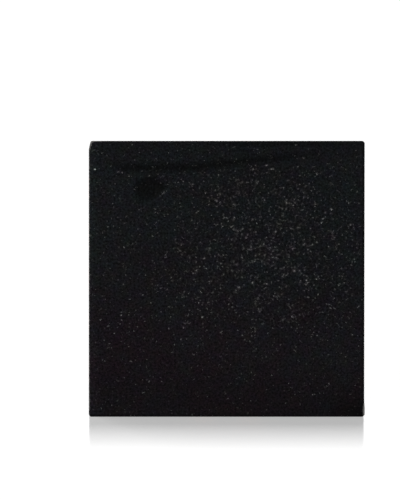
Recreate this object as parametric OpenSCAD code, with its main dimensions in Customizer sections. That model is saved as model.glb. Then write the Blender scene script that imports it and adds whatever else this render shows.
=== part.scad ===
// Flat no-lead chip: a moulded block with a row of terminals along two sides and an exposed thermal pad.
// The seating plane is z = 0, the marked face looks up, and terminal 1 lies towards -X and +Y.
// Terminals are numbered down the -X side and back up the +X side, as seen from above.

/* [Package] */
// Width across the two rows of terminals
body_w = 3.0; // [2.8:0.05:3.6]
// Length along the rows of terminals
body_l = 3.0; // [2.8:0.05:3.6]
// Height from the seating plane to the marked face
body_h = 0.9; // [0.75:0.05:1.2]
// Height of the moulding's underside above the seating plane
standoff = 0.02; // [0.01:0.005:0.05]
// Radius of the three sound corners, in plan
corner_r = 0.03; // [0.01:0.005:0.08]
// Worn corner beside terminal 1, measured along X
worn_x = 0.02; // [0.005:0.005:0.06]
// Worn corner beside terminal 1, measured along Y
worn_y = 0.09; // [0.02:0.01:0.2]

/* [Orientation dot] */
// Diameter of the dot that marks terminal 1
dot_d = 0.24; // [0.15:0.01:0.4]
// Depth of the dot below the marked face
dot_depth = 0.012; // [0.005:0.001:0.03]
// Distance of the dot's centre from the -X side
dot_inset_x = 0.63; // [0.3:0.01:0.9]
// Distance of the dot's centre from the +Y side
dot_inset_y = 0.54; // [0.3:0.01:0.9]

/* [Lead frame] */
// Thickness of the etched copper sheet
frame_t = 0.2; // [0.16:0.01:0.25]
// Thickness of the locking ledges that the half etch leaves at the top
ledge_t = 0.1; // [0.05:0.01:0.13]

/* [Terminals] */
// Terminals on each of the two sides
leads_per_side = 5; // [3:1:5]
// Distance between neighbouring terminals
lead_pitch = 0.5; // [0.4:0.01:0.55]
// Width of a terminal
lead_w = 0.27; // [0.18:0.01:0.32]
// Length of a terminal's foot, from the package side to its round end
lead_len = 0.38; // [0.3:0.01:0.45]
// Reach of the bonding ledge past the foot
lead_tip = 0.07; // [0.03:0.01:0.1]

/* [Thermal pad] */
// Width of the exposed pad
pad_w = 1.65; // [1.4:0.05:1.7]
// Length of the exposed pad
pad_l = 2.4; // [2.1:0.05:2.6]
// Cut corner of the pad beside terminal 1
pad_chamfer = 0.3; // [0.15:0.01:0.35]
// Radius of the pad's outer corners
pad_corner_r = 0.05; // [0.02:0.01:0.1]
// Reach of the locking ledge past the exposed pad
pad_ledge = 0.08; // [0.04:0.01:0.1]
// Width of a tie bar
bar_w = 0.24; // [0.16:0.01:0.28]
// Distance between the two tie bars of one end
bar_pitch = 0.5; // [0.48:0.01:0.6]
// Radius in the corners between the tie bars and the pad
bar_fillet_r = 0.09; // [0.04:0.01:0.1]

/* [Die] */
// Width of the die
die_w = 1.1; // [0.9:0.05:1.3]
// Length of the die
die_l = 1.6; // [1.4:0.05:1.9]
// Thickness of the die
die_t = 0.2; // [0.1:0.01:0.25]
// Thickness of the adhesive under the die
attach_t = 0.025; // [0.01:0.005:0.05]
// Margin of adhesive around the die
attach_margin = 0.04; // [0.02:0.01:0.1]
// Radius of the adhesive's corners
attach_corner_r = 0.08; // [0.03:0.01:0.15]

/* [Bond wires] */
// Diameter of a bond wire
wire_d = 0.025; // [0.018:0.001:0.035]
// Diameter of the ball bond on the die
ball_d = 0.065; // [0.05:0.001:0.08]
// Height of the ball bond
ball_h = 0.018; // [0.012:0.001:0.025]
// Height of the wire's loop above the die
loop_h = 0.15; // [0.1:0.01:0.18]
// Distance from the die's edge to its bond pads
bond_inset = 0.08; // [0.06:0.01:0.15]
// Distance between neighbouring bond pads
bond_pitch = 0.28; // [0.2:0.01:0.32]
// Distance from a ledge's round end to where the wire lands on it
landing = 0.1; // [0.06:0.01:0.14]
// Length of the flattened stitch at the wire's end
stitch_len = 0.07; // [0.04:0.01:0.1]
// Width of the stitch at its far end
stitch_w = 0.043; // [0.03:0.001:0.06]
// Thickness of the stitch at its far end
stitch_t = 0.008; // [0.005:0.001:0.015]

/* [Hidden] */
arc_steps = 8;
outline_fn = 48;
wire_sides = 8;
loop_rings = 10;
stitch_rings = 3;
overcut = 0.1;
// Rings of the ball bond, as shares of its height and of its radius
ball_profile = [[0, 0.8], [0.4, 1], [0.8, 0.8]];
// Control points of the loop, as shares of its height, and of its reach along the ground
loop_rise = 1.5;
loop_crest = 1.2;
loop_lean = 0.4;
// Height of the wire's middle where it comes down to the ledge, in wire radii
heel_lift = 1.3;
lead_count = 2 * leads_per_side;
lead_numbers = [1:lead_count];
attach_z = frame_t;
die_z = attach_z + attach_t;
die_top = die_z + die_t;
wire_r = wire_d / 2;
ball_r = ball_d / 2;
mould_black = [0.06, 0.06, 0.065];
tin_grey = [0.72, 0.71, 0.68];
silicon_blue = [0.3, 0.33, 0.4];
adhesive_grey = [0.6, 0.6, 0.58];
wire_gold = [0.85, 0.68, 0.3];

// Where things lie

// -1 for a terminal on the -X side, 1 for one on the +X side
function lead_side(i) = i <= leads_per_side ? -1 : 1;
// Place of a terminal in its row, counted from the +Y end
function lead_row(i) = i <= leads_per_side ? i - 1 : lead_count - i;
// Y of place n in a row of the given pitch, centred on the package
function row_y(n, pitch) = ((leads_per_side - 1) / 2 - n) * pitch;
// Centre of a bond pad on the die's top
function bond_xy(i) = [lead_side(i) * (die_w / 2 - bond_inset), row_y(lead_row(i), bond_pitch)];
// Where a wire comes down on the bonding ledge of its terminal
function landing_xy(i) = [
    lead_side(i) * (body_w / 2 - lead_len - lead_tip + landing),
    row_y(lead_row(i), lead_pitch)
];

// Outlines

// Points of an arc about c, from angle a to angle b
function arc(c, r, a, b) = [
    for (k = [0:arc_steps])
        let (t = a + (b - a) * k / arc_steps)
            c + r * [cos(t), sin(t)]
];

// Rectangle with round corners, centred on the origin
function round_box(w, l, r) = concat(
    arc([w / 2 - r, l / 2 - r], r, 0, 90),
    arc([r - w / 2, l / 2 - r], r, 90, 180),
    arc([r - w / 2, r - l / 2], r, 180, 270),
    arc([w / 2 - r, r - l / 2], r, 270, 360)
);

// The moulding in plan: three round corners and the worn one
function body_outline() = concat(
    arc([body_w / 2 - corner_r, body_l / 2 - corner_r], corner_r, 0, 90),
    [[worn_x - body_w / 2, body_l / 2], [-body_w / 2, body_l / 2 - worn_y]],
    arc([corner_r - body_w / 2, corner_r - body_l / 2], corner_r, 180, 270),
    arc([body_w / 2 - corner_r, corner_r - body_l / 2], corner_r, 270, 360)
);

// A terminal in plan, from the package side at x = 0 to a round end
module lead_plan(length) {
    translate([0, -lead_w / 2]) square([length - lead_w / 2, lead_w]);
    translate([length - lead_w / 2, 0]) circle(d = lead_w, $fn = outline_fn);
}

// The pad in plan, grown past its exposed face, with its tie bars running past the package sides
module pad_blank(grow) {
    w = pad_w / 2;
    l = pad_l / 2;
    offset(delta = grow)
        polygon([[w, -l], [w, l], [pad_chamfer - w, l], [-w, l - pad_chamfer], [-w, -l]]);
    for (side = [-1, 1])
        translate([side * bar_pitch / 2, 0])
            square([bar_w, body_l + 2 * overcut], center = true);
}

// The same with its inner corners filled, its outer corners rounded and its tie bars sawn flush
module pad_plan(grow) {
    intersection() {
        square([body_w, body_l], center = true);
        offset(r = pad_corner_r, $fn = outline_fn)
            offset(delta = -pad_corner_r)
                offset(r = -bar_fillet_r, $fn = outline_fn)
                    offset(delta = bar_fillet_r)
                        pad_blank(grow);
    }
}

// Etched copper

// One terminal: a foot on the seating plane and a longer ledge that keys it into the moulding
module terminal(i) {
    color(tin_grey)
        translate([lead_side(i) * body_w / 2, row_y(lead_row(i), lead_pitch), 0])
            rotate([0, 0, lead_side(i) < 0 ? 0 : 180]) {
                linear_extrude(frame_t) lead_plan(lead_len);
                translate([0, 0, frame_t - ledge_t]) linear_extrude(ledge_t) lead_plan(lead_len + lead_tip);
            }
}

// The thermal pad with its tie bars and the ledge round its upper half
module thermal_pad() {
    color(tin_grey) {
        linear_extrude(frame_t) pad_plan(0);
        translate([0, 0, frame_t - ledge_t]) linear_extrude(ledge_t) pad_plan(pad_ledge);
    }
}

// Die and adhesive

module die_adhesive() {
    color(adhesive_grey)
        translate([0, 0, attach_z])
            linear_extrude(attach_t)
                polygon(round_box(die_w + 2 * attach_margin, die_l + 2 * attach_margin, attach_corner_r));
}

module die() {
    color(silicon_blue)
        translate([-die_w / 2, -die_l / 2, die_z])
            cube([die_w, die_l, die_t]);
}

// Bond wires

// Value at share t of the way from a to b
function between(a, b, t) = a + (b - a) * t;

// Point of a cubic curve with control points p
function curve(p, t) = let (u = 1 - t)
    u * u * u * p[0] + 3 * u * u * t * p[1] + 3 * u * t * t * p[2] + t * t * t * p[3];

// Direction of that curve
function heading(p, t) = let (u = 1 - t)
    u * u * (p[1] - p[0]) + 2 * u * t * (p[2] - p[1]) + t * t * (p[3] - p[2]);

// A ring across the wire: [distance along the ground, height, pitch, half width, half thickness]

// The ball, squashed on the die, and the neck above it
function ball_rings() = [
    for (share = ball_profile)
        [0, die_top + share[0] * ball_h, 90, share[1] * ball_r, share[1] * ball_r],
    [0, die_top + ball_h, 90, wire_r, wire_r]
];

// The loop: straight up from the ball, over and down to the ledge at the given reach
function loop_points(reach) = [
    [0, die_top + ball_h],
    [0, die_top + loop_rise * loop_h],
    [loop_lean * reach, die_top + loop_crest * loop_h],
    [reach, frame_t + heel_lift * wire_r]
];
function loop(reach) = let (p = loop_points(reach)) [
    for (k = [1:loop_rings])
        let (c = curve(p, k / loop_rings), d = heading(p, k / loop_rings))
            [c[0], c[1], atan2(d[1], d[0]), wire_r, wire_r]
];

// The stitch, pressed flatter and wider on the ledge towards its far end
function stitch(reach) = [
    for (k = [1:stitch_rings])
        let (t = k / stitch_rings)
        let (half_t = between(wire_d, stitch_t, t) / 2)
        let (half_w = between(wire_d, stitch_w, t) / 2)
            [reach + stitch_len * t, frame_t + half_t, 0, half_w, half_t]
];

// Corners of one ring of a wire that leaves the point start towards the direction ahead
function ring_corners(ring, start, ahead) = let (grow = 1 / cos(180 / wire_sides), pitch = ring[2]) [
    for (k = [0:wire_sides - 1])
        let (a = (k + 0.5) * 360 / wire_sides)
        let (across = grow * ring[3] * cos(a), up = grow * ring[4] * sin(a))
        let (along = ring[0] - up * sin(pitch))
            [
                start[0] + along * ahead[0] - across * ahead[1],
                start[1] + along * ahead[1] + across * ahead[0],
                ring[1] + up * cos(pitch)
            ]
];

// A closed skin over rings of equal corner counts
module skin(rings) {
    n = len(rings[0]);
    last = (len(rings) - 1) * n;
    polyhedron(
        points = [for (ring = rings) each ring],
        faces = concat(
            [[for (k = [0:n - 1]) k]],
            [
                for (row = [0:len(rings) - 2], k = [0:n - 1], half = [0, 1])
                    let (a = row * n + k, b = row * n + (k + 1) % n)
                        half == 0 ? [a, a + n, b] : [b, a + n, b + n]
            ],
            [[for (k = [n - 1:-1:0]) last + k]]
        )
    );
}

module bond_wire(i) {
    start = bond_xy(i);
    span = landing_xy(i) - start;
    reach = norm(span);
    rings = concat(ball_rings(), loop(reach), stitch(reach));
    color(wire_gold) skin([for (ring = rings) ring_corners(ring, start, span / reach)]);
}

// Moulding

module mould_body() {
    color(mould_black)
        difference() {
            translate([0, 0, standoff]) linear_extrude(body_h - standoff) polygon(body_outline());
            translate([dot_inset_x - body_w / 2, body_l / 2 - dot_inset_y, body_h - dot_depth])
                cylinder(d = dot_d, h = dot_depth + overcut, $fn = outline_fn);
            thermal_pad();
            die_adhesive();
            die();
            for (i = lead_numbers) terminal(i);
            for (i = lead_numbers) bond_wire(i);
        }
}

mould_body();
thermal_pad();
die_adhesive();
die();
for (i = lead_numbers) {
    terminal(i);
    bond_wire(i);
}
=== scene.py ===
"""Looks of a flat no-lead chip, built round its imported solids.

A black moulded block, sawn on four sides, sits on ten tinned terminals and a tinned thermal pad. The die,
its adhesive and the bond wires stay inside as packed. Lengths here are millimetres in the frame of the
solids, and they turn into metres when a mesh is written.
"""

from __future__ import annotations

import logging
import math
from dataclasses import dataclass, field
from enum import IntEnum
from typing import Any

import bmesh
import bpy
import numpy as np
from bpy.types import Light, Material, Mesh, NodeSocket, NodeTree, Object
from mathutils import Matrix, Vector
from mathutils.geometry import delaunay_2d_cdt


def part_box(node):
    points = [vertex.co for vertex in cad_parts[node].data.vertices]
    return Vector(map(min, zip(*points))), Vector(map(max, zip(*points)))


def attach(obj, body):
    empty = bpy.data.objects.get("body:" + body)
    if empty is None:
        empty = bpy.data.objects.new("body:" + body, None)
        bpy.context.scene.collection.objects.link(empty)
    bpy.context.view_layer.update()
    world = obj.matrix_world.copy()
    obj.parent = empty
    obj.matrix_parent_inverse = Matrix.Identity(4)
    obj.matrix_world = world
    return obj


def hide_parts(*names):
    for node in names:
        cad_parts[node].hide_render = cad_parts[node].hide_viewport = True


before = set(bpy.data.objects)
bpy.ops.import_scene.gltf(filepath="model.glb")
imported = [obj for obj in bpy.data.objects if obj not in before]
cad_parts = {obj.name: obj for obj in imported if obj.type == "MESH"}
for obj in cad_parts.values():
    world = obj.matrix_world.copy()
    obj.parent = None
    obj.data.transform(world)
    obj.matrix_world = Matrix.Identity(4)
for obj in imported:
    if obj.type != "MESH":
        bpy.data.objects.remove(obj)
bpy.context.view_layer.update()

LOG = logging.getLogger("chip")
Array = np.ndarray
Inputs = dict[Any, Any]

MM = 0.001
TINY = 1e-6
NEAR = 1e-4
BODY = "root"
LEADS = range(1, 11)
INSIDE_CONSTRAINTS = 1

# Inputs of a Mix node that blends two colours, and its settings
FACTOR, FROM, TO = 0, 6, 7
BLEND = {"out": 2, "data_type": "RGBA"}
# The range that most values of a noise lie in
NOISE_SPAN = {"From Min": 0.3, "From Max": 0.7}
# Filled epoxy bends light as glass does, and its matt skin dulls the sheen
EPOXY = {"IOR": 1.5, "Specular IOR Level": 0.35}


class Skin(IntEnum):
    """Material slots of the moulding."""

    FACE = 0
    SAWN = 1
    UNDERSIDE = 2


class Metal(IntEnum):
    """Material slots of the etched copper pieces."""

    TIN = 0
    COPPER = 1


# Numbers and colours


def linear(code: str) -> tuple[float, float, float, float]:
    """Turn an sRGB hex colour into linear RGBA by the sRGB transfer curve.

    Args:
        code: Colour such as "#a0b1c2".

    Returns:
        Linear red, green and blue, with an alpha of 1.
    """
    share = np.array([int(code[k:k + 2], 16) for k in (1, 3, 5)]) / 255.0
    value = np.where(share <= 0.04045, share / 12.92, ((share + 0.055) / 1.055) ** 2.4)
    return (*value.tolist(), 1.0)


def smooth(share: Array) -> Array:
    """Ease a share that is cut to 0..1, by 3 t^2 - 2 t^3."""
    t = np.clip(share, 0.0, 1.0)
    return t * t * (3.0 - 2.0 * t)


def rise(value: Array, start: Array | float, end: Array | float) -> Array:
    """Eased share that is 0 at start, 1 at end and flat past both. The start may be the greater one."""
    return smooth((value - start) / (end - start))


def lattice_noise(x: Array, y: Array, cell: float, seed: int) -> Array:
    """Smooth noise in the plane.

    Random values from -1 to 1 stand on a square lattice. Between them they are blended along x and then
    along y, each by the eased share of the way across the cell.

    Args:
        x: First coordinates.
        y: Second coordinates.
        cell: Side of a lattice cell, in the same units.
        seed: Seed of the lattice's random values.

    Returns:
        Noise at each point.
    """
    size = 256
    table = np.random.default_rng(seed).uniform(-1.0, 1.0, (size, size))
    column, row = np.floor(x / cell).astype(int), np.floor(y / cell).astype(int)
    s, t = smooth(x / cell - column), smooth(y / cell - row)
    left, right, low, high = column % size, (column + 1) % size, row % size, (row + 1) % size
    below = table[left, low] * (1.0 - s) + table[right, low] * s
    above = table[left, high] * (1.0 - s) + table[right, high] * s
    return below * (1.0 - t) + above * t


@dataclass(frozen=True)
class Bell:
    """A bell over the face, by its centre and its reach along x and along y."""

    x: float
    y: float
    wide: float
    long: float

    def share(self, x: Array, y: Array) -> Array:
        """Height of the bell, exp(-((x - x0) / wide)^2 - ((y - y0) / long)^2)."""
        return np.exp(-(((x - self.x) / self.wide) ** 2) - ((y - self.y) / self.long) ** 2)


def box_mm(node: str) -> tuple[Array, Array]:
    """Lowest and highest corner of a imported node, in millimetres."""
    low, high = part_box(node)
    return np.array(low) / MM, np.array(high) / MM


# Meshes


def at_height(plan: Array, z: float) -> Array:
    """Points of a plan, all at one height."""
    return np.column_stack([plan, np.full(len(plan), z)])


def unique_ring(ring: Array) -> Array:
    """A closed ring without the points that repeat the one before."""
    step = np.linalg.norm(ring - np.roll(ring, 1, axis=0), axis=1)
    return ring[step > TINY]


def ring_quads(upper: Array, lower: Array) -> Array:
    """Quads of the band between two closed rings of point numbers that run anticlockwise, seen from above."""
    return np.stack([upper, lower, np.roll(lower, -1), np.roll(upper, -1)], axis=1)


def filled(outline: Array, pitch: float) -> tuple[Array, Array]:
    """Fill a closed outline with triangles over a square lattice of points.

    The lattice's points and the outline's edges go through a constrained Delaunay triangulation, and only
    what lies inside the outline is kept.

    Args:
        outline: Points of the outline, anticlockwise.
        pitch: Distance between lattice points.

    Returns:
        The points, the outline's first and in order, and the triangles.
    """
    low, high = outline.min(0) + pitch / 2, outline.max(0)
    columns, rows = np.meshgrid(np.arange(low[0], high[0], pitch), np.arange(low[1], high[1], pitch))
    lattice = np.stack([columns.ravel(), rows.ravel()], axis=1)
    gap = np.linalg.norm(lattice[:, None] - outline[None], axis=2).min(1)
    given = [Vector(point) for point in np.vstack([outline, lattice[gap > pitch / 2]])]
    around = list(range(len(outline)))
    points, _, faces, *_ = delaunay_2d_cdt(given, [], [around], INSIDE_CONSTRAINTS, TINY / 10.0)
    return np.array(points), np.array(faces)


def write_piece(name: str, points: Array, faces: list[list[int]], weld: float = TINY) -> Object:
    """Make a mesh object from points in millimetres, with its doubles merged and its loose points removed.

    Args:
        name: Name of the object.
        points: Its points.
        faces: Point numbers of each face, anticlockwise from outside.
        weld: Distance under which points are merged.

    Returns:
        The object, still in millimetres and in the scene's collection.
    """
    mesh = bpy.data.meshes.new(name)
    mesh.from_pydata(points.tolist(), [], faces)
    work = bmesh.new()
    work.from_mesh(mesh)
    bmesh.ops.remove_doubles(work, verts=work.verts, dist=weld)
    bmesh.ops.delete(work, geom=[v for v in work.verts if not v.link_faces], context="VERTS")
    work.to_mesh(mesh)
    work.free()
    piece = bpy.data.objects.new(name, mesh)
    bpy.context.scene.collection.objects.link(piece)
    return piece


def vectors(items: Any, name: str) -> Array:
    """A named vector of each of a mesh's points or faces, as the rows of an array."""
    flat = np.empty(len(items) * 3, np.float32)
    items.foreach_get(name, flat)
    return flat.reshape(-1, 3).astype(float)


def finish_piece(piece: Object, node: str, sharp: float) -> None:
    """Scale a piece to metres, smooth it up to an edge angle and let it stand for its node.

    Args:
        piece: Object in millimetres.
        node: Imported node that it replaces.
        sharp: Edge angle, in degrees, above which an edge stays sharp.
    """
    mesh = piece.data
    mesh.transform(Matrix.Scale(MM, 4))
    mesh.polygons.foreach_set("use_smooth", np.ones(len(mesh.polygons), bool))
    mesh.set_sharp_from_angle(angle=math.radians(sharp))
    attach(piece, BODY)
    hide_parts(node)
    LOG.info("%s: %d points, %d faces", piece.name, len(mesh.vertices), len(mesh.polygons))


def give_field(mesh: Mesh, name: str, values: Array) -> None:
    """Store one number for each point of a mesh as a named attribute."""
    mesh.attributes.new(name, "FLOAT", "POINT").data.foreach_set("value", values.astype(np.float32))


# Finishes


def add(tree: NodeTree, kind: str, inputs: Inputs | None = None, out: Any = 0, **settings: Any) -> NodeSocket:
    """Add one node with its settings and links.

    Args:
        tree: Node tree that takes it.
        kind: Type of the node, without the ShaderNode in front.
        inputs: Values, or sockets to link, by the input's name or number.
        out: Name or number of the output to return.
        settings: Properties of the node.

    Returns:
        One output of the new node.
    """
    node = tree.nodes.new("ShaderNode" + kind)
    for name, value in settings.items():
        setattr(node, name, value)
    for key, value in (inputs or {}).items():
        if isinstance(value, NodeSocket):
            tree.links.new(value, node.inputs[key])
        else:
            node.inputs[key].default_value = value
    return node.outputs[out] if len(node.outputs) else None


def new_material(name: str) -> tuple[Material, NodeTree]:
    """An empty material and its node tree."""
    material = bpy.data.materials.new(name)
    material.use_nodes = True
    material.node_tree.nodes.clear()
    return material, material.node_tree


class Finish:
    """What all finishes share: a named material with one Principled shader."""

    name: str

    def material(self) -> Material:
        """Build the material from the finish's own shader inputs."""
        material, tree = new_material(self.name)
        metres = add(tree, "TexCoord", out="Object")
        place = add(tree, "VectorMath", {0: metres, "Scale": 1.0 / MM}, operation="SCALE")
        surface = add(tree, "BsdfPrincipled", self.shader(tree, place))
        add(tree, "OutputMaterial", {"Surface": surface})
        return material

    def shader(self, tree: NodeTree, place: NodeSocket) -> Inputs:
        """Add the nodes of the finish's pattern.

        Args:
            tree: Node tree that takes them.
            place: Object coordinates in millimetres.

        Returns:
            Inputs of the Principled shader.
        """
        raise NotImplementedError


@dataclass(frozen=True)
class Mark:
    """One small pale mark on the face: an ellipse with a soft edge, in millimetres and degrees."""

    x: float
    y: float
    half_length: float
    half_width: float
    angle: float
    paleness: float
    half_height: float = 0.1

    def share(self, tree: NodeTree, place: NodeSocket, top: float) -> NodeSocket:
        """Light that the mark adds: full over its inner third, none at its outline.

        Args:
            tree: Node tree.
            place: Coordinates in millimetres.
            top: Height of the face.

        Returns:
            The mark's paleness at each point.
        """
        own = add(tree, "Mapping", {"Vector": place, "Location": (self.x, self.y, top),
                                    "Rotation": (0.0, 0.0, math.radians(self.angle)),
                                    "Scale": (self.half_length, self.half_width, self.half_height)},
                  vector_type="TEXTURE")
        away = add(tree, "VectorMath", {0: own}, out="Value", operation="LENGTH")
        return add(tree, "MapRange", {"Value": away, "From Min": 1.0, "From Max": 0.3,
                                      "To Max": self.paleness})


# A grain of bare silica near the left edge and two scratches beside the worn corner
FACE_MARKS = (
    Mark(x=-1.433, y=1.19, half_length=0.014, half_width=0.009, angle=10.0, paleness=0.5),
    Mark(x=-1.449, y=1.395, half_length=0.034, half_width=0.009, angle=31.0, paleness=0.03),
    Mark(x=-1.399, y=1.358, half_length=0.026, half_width=0.009, angle=-43.0, paleness=0.022),
)


@dataclass(frozen=True)
class MouldedEpoxy(Finish):
    """Black epoxy filled with silica, matt as it leaves the mould.

    Carbon black drowns nearly all light. Grains of silica just under the skin show as pale pinpoints, whose
    paleness also paints the glints that they catch. Edges worn by rubbing turn grey where the filler is laid
    bare, and the same grey paints a highlight along the round left and upper edge.
    """

    top: float
    name: str = "black silica-filled epoxy, moulded"
    cool: str = "#101214"
    warm: str = "#110c10"
    # Colour of the painted glints that the silica grains catch
    glint: str = "#ffffff"
    # Grey of places worn by rubbing, which along the round left and upper edge also paints a highlight
    rubbed_and_lit: str = "#6a6967"
    cool_way: tuple[float, float, float] = (0.2, 1.0, 0.0)
    cloud_mm: float = 0.35
    cloud_swing: float = 2.0
    clump_mm: float = 0.12
    blotch_least: float = 0.6
    blotch_swing: float = 0.8
    dark_swing: float = -0.5
    grain_mm: float = 0.024
    grain_contrast: float = 12.5
    grain_tint: float = 0.35
    pit_mm: float = 0.022
    pit_depth_mm: float = 0.0016
    rub_and_light_swing: float = 1.2

    def shader(self, tree: NodeTree, place: NodeSocket) -> Inputs:
        """Lay a two-tone black with painted shade in places, pale grains with painted glints over it, and
        worn places over both, which along the round edge also paint a highlight.
        """
        sizes = ((self.cloud_mm, 3.0), (self.clump_mm, 3.0), (self.pit_mm, 2.0), (self.grain_mm, 1.0))
        cloud, clump, pits, grain = (
            add(tree, "TexNoise", {"Vector": place, "Scale": 1.0 / size, "Detail": detail})
            for size, detail in sizes
        )
        dark, spread, wear_and_edge_highlight = (
            add(tree, "Attribute", out="Fac", attribute_name=name) for name in ("dark", "filler", "wear_and_edge_highlight")
        )
        colours = clump.node.outputs["Color"]
        along = add(tree, "VectorMath", {0: place, 1: self.cool_way}, out="Value", operation="DOT_PRODUCT")
        upward = add(tree, "MapRange", {"Value": along, "From Min": -1.2, "From Max": 0.9,
                                        "To Min": -0.9, "To Max": 0.0})
        share = add(tree, "Math", {0: cloud, 1: self.cloud_swing, 2: upward}, operation="MULTIPLY_ADD",
                    use_clamp=True)
        even = add(tree, "Mix", {FACTOR: share, FROM: linear(self.warm), TO: linear(self.cool)}, **BLEND)
        swing, least = (self.blotch_swing,) * 3, (self.blotch_least,) * 3
        blotch = add(tree, "VectorMath", {0: colours, 1: swing, 2: least}, operation="MULTIPLY_ADD")
        tone = add(tree, "VectorMath", {0: even, 1: blotch}, operation="MULTIPLY")
        lumpy = add(tree, "MapRange", {"Value": clump, **NOISE_SPAN, "To Min": 0.4, "To Max": 1.6})
        filler = add(tree, "Math", {0: spread, 1: lumpy}, operation="MULTIPLY")
        mottle = add(tree, "MapRange", {"Value": pits, **NOISE_SPAN, "To Min": 0.2, "To Max": 1.8})
        # The dark field dims the ground: the stain, the scuff, the lower right corner, and painted shade at
        # three edges and on the dot's wall
        kept = add(tree, "Math", {0: dark, 1: self.dark_swing, 2: 1.0}, operation="MULTIPLY_ADD")
        hidden = add(tree, "MapRange", {"Value": filler, "To Min": 1.0, "To Max": 0.68})
        clear = add(tree, "Math", {0: kept, 1: hidden}, operation="MULTIPLY")
        depth = add(tree, "Math", {0: mottle, 1: clear}, operation="MULTIPLY")
        ground = add(tree, "VectorMath", {0: tone, "Scale": depth}, operation="SCALE")
        tint = add(tree, "Mix", {FACTOR: self.grain_tint, FROM: linear(self.glint), TO: colours}, **BLEND)
        # Painted glints of the silica grains, to which the face's marks add their own paleness
        pale = self.paleness(tree, grain, filler, dark)
        for mark in FACE_MARKS:
            pale = add(tree, "Math", {0: pale, 1: mark.share(tree, place, self.top)}, operation="ADD")
        glints = add(tree, "VectorMath", {0: tint, "Scale": pale}, operation="SCALE")
        grainy = add(tree, "VectorMath", {0: ground, 1: glints}, operation="ADD")
        ragged = add(tree, "Math", {0: grain, 1: self.rub_and_light_swing, 2: -0.5 * self.rub_and_light_swing},
                     operation="MULTIPLY_ADD")
        # The worn grey also stands for a painted highlight along the round left and upper edge
        rub_and_light = add(tree, "Math", {0: wear_and_edge_highlight, 1: ragged}, operation="ADD")
        rubbed_and_lit = add(tree, "MapRange", {"Value": rub_and_light, "From Min": 0.25, "From Max": 0.85})
        colour = add(tree, "Mix", {FACTOR: rubbed_and_lit, FROM: grainy, TO: linear(self.rubbed_and_lit)}, **BLEND)
        rough = add(tree, "MapRange", {"Value": grain, **NOISE_SPAN, "To Min": 0.42, "To Max": 0.58})
        bump = add(tree, "Bump", {"Height": pits, "Strength": 0.5, "Distance": self.pit_depth_mm * MM})
        return {"Base Color": colour, "Roughness": rough, "Normal": bump, **EPOXY}

    def paleness(self, tree: NodeTree, grain: NodeSocket, filler: NodeSocket, dark: NodeSocket) -> NodeSocket:
        """Paleness of the silica grains, painted as the glints that they catch.

        It is what exp(contrast (noise - 0.5)) has over a threshold, so that most of the skin stays black and
        a few grains stand out. Where there is much filler the threshold falls and the grains are paler.

        Args:
            tree: Node tree.
            grain: Noise of the grains' own size.
            filler: Field of the filler close under the skin.
            dark: Field of the places that hold hardly any grains.

        Returns:
            Share of light that the grains' painted glints add, at each point.
        """
        swing = add(tree, "Math", {0: grain, 1: self.grain_contrast, 2: -0.5 * self.grain_contrast},
                    operation="MULTIPLY_ADD")
        pale = add(tree, "Math", {0: swing}, operation="EXPONENT")
        limit = add(tree, "MapRange", {"Value": filler, "From Min": -0.4, "To Min": 11.4, "To Max": 0.3})
        over = add(tree, "Math", {0: pale, 1: limit}, operation="SUBTRACT")
        shown = add(tree, "Math", {0: over, 1: 0.0}, operation="MAXIMUM")
        strength = add(tree, "MapRange", {"Value": filler, "To Min": 0.0018, "To Max": 0.0038})
        bare = add(tree, "MapRange", {"Value": dark, "To Min": 1.0, "To Max": 0.3})
        each = add(tree, "Math", {0: shown, 1: strength}, operation="MULTIPLY")
        return add(tree, "Math", {0: each, 1: bare}, operation="MULTIPLY")


@dataclass(frozen=True)
class SawnEpoxy(Finish):
    """The same epoxy where the saw parted the chips.

    The blade leaves level lines and cuts the silica grains flat, so the side is greyer than the face and
    shows the grains as dull round spots. The lines are drawn about twice as coarse as a real blade's, so that
    they show.
    """

    name: str = "black silica-filled epoxy, sawn"
    ground: str = "#131314"
    spot: str = "#404142"
    spot_mm: float = 0.034
    spot_rarity: float = 3.0
    line_mm: float = 0.026
    line_length_mm: float = 0.7
    line_depth_mm: float = 0.0015

    def shader(self, tree: NodeTree, place: NodeSocket) -> Inputs:
        """Lay spots of chance paleness over a ground that the lines shade."""
        cells = add(tree, "TexVoronoi", {"Vector": place, "Scale": 1.0 / self.spot_mm}, out="Distance")
        luck = add(tree, "SeparateColor", {0: cells.node.outputs["Color"]})
        pale = add(tree, "Math", {0: luck, 1: self.spot_rarity}, operation="POWER")
        dot = add(tree, "MapRange", {"Value": cells, "From Min": 0.42, "From Max": 0.2})
        spot = add(tree, "Math", {0: pale, 1: dot}, operation="MULTIPLY")
        along = 1.0 / self.line_length_mm
        drawn = add(tree, "Mapping", {"Vector": place, "Scale": (along, along, 1.0 / self.line_mm)})
        lines = add(tree, "TexNoise", {"Vector": drawn, "Scale": 1.0, "Detail": 3.0, "Roughness": 0.6})
        level = add(tree, "MapRange", {"Value": lines, **NOISE_SPAN, "To Min": 0.5, "To Max": 1.6})
        ground = add(tree, "VectorMath", {0: linear(self.ground)[:3], "Scale": level}, operation="SCALE")
        colour = add(tree, "Mix", {FACTOR: spot, FROM: ground, TO: linear(self.spot)}, **BLEND)
        rough = add(tree, "MapRange", {"Value": lines, **NOISE_SPAN, "To Min": 0.5, "To Max": 0.65})
        bump = add(tree, "Bump", {"Height": lines, "Strength": 0.6, "Distance": self.line_depth_mm * MM})
        return {"Base Color": colour, "Roughness": rough, "Normal": bump, **EPOXY}


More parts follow.
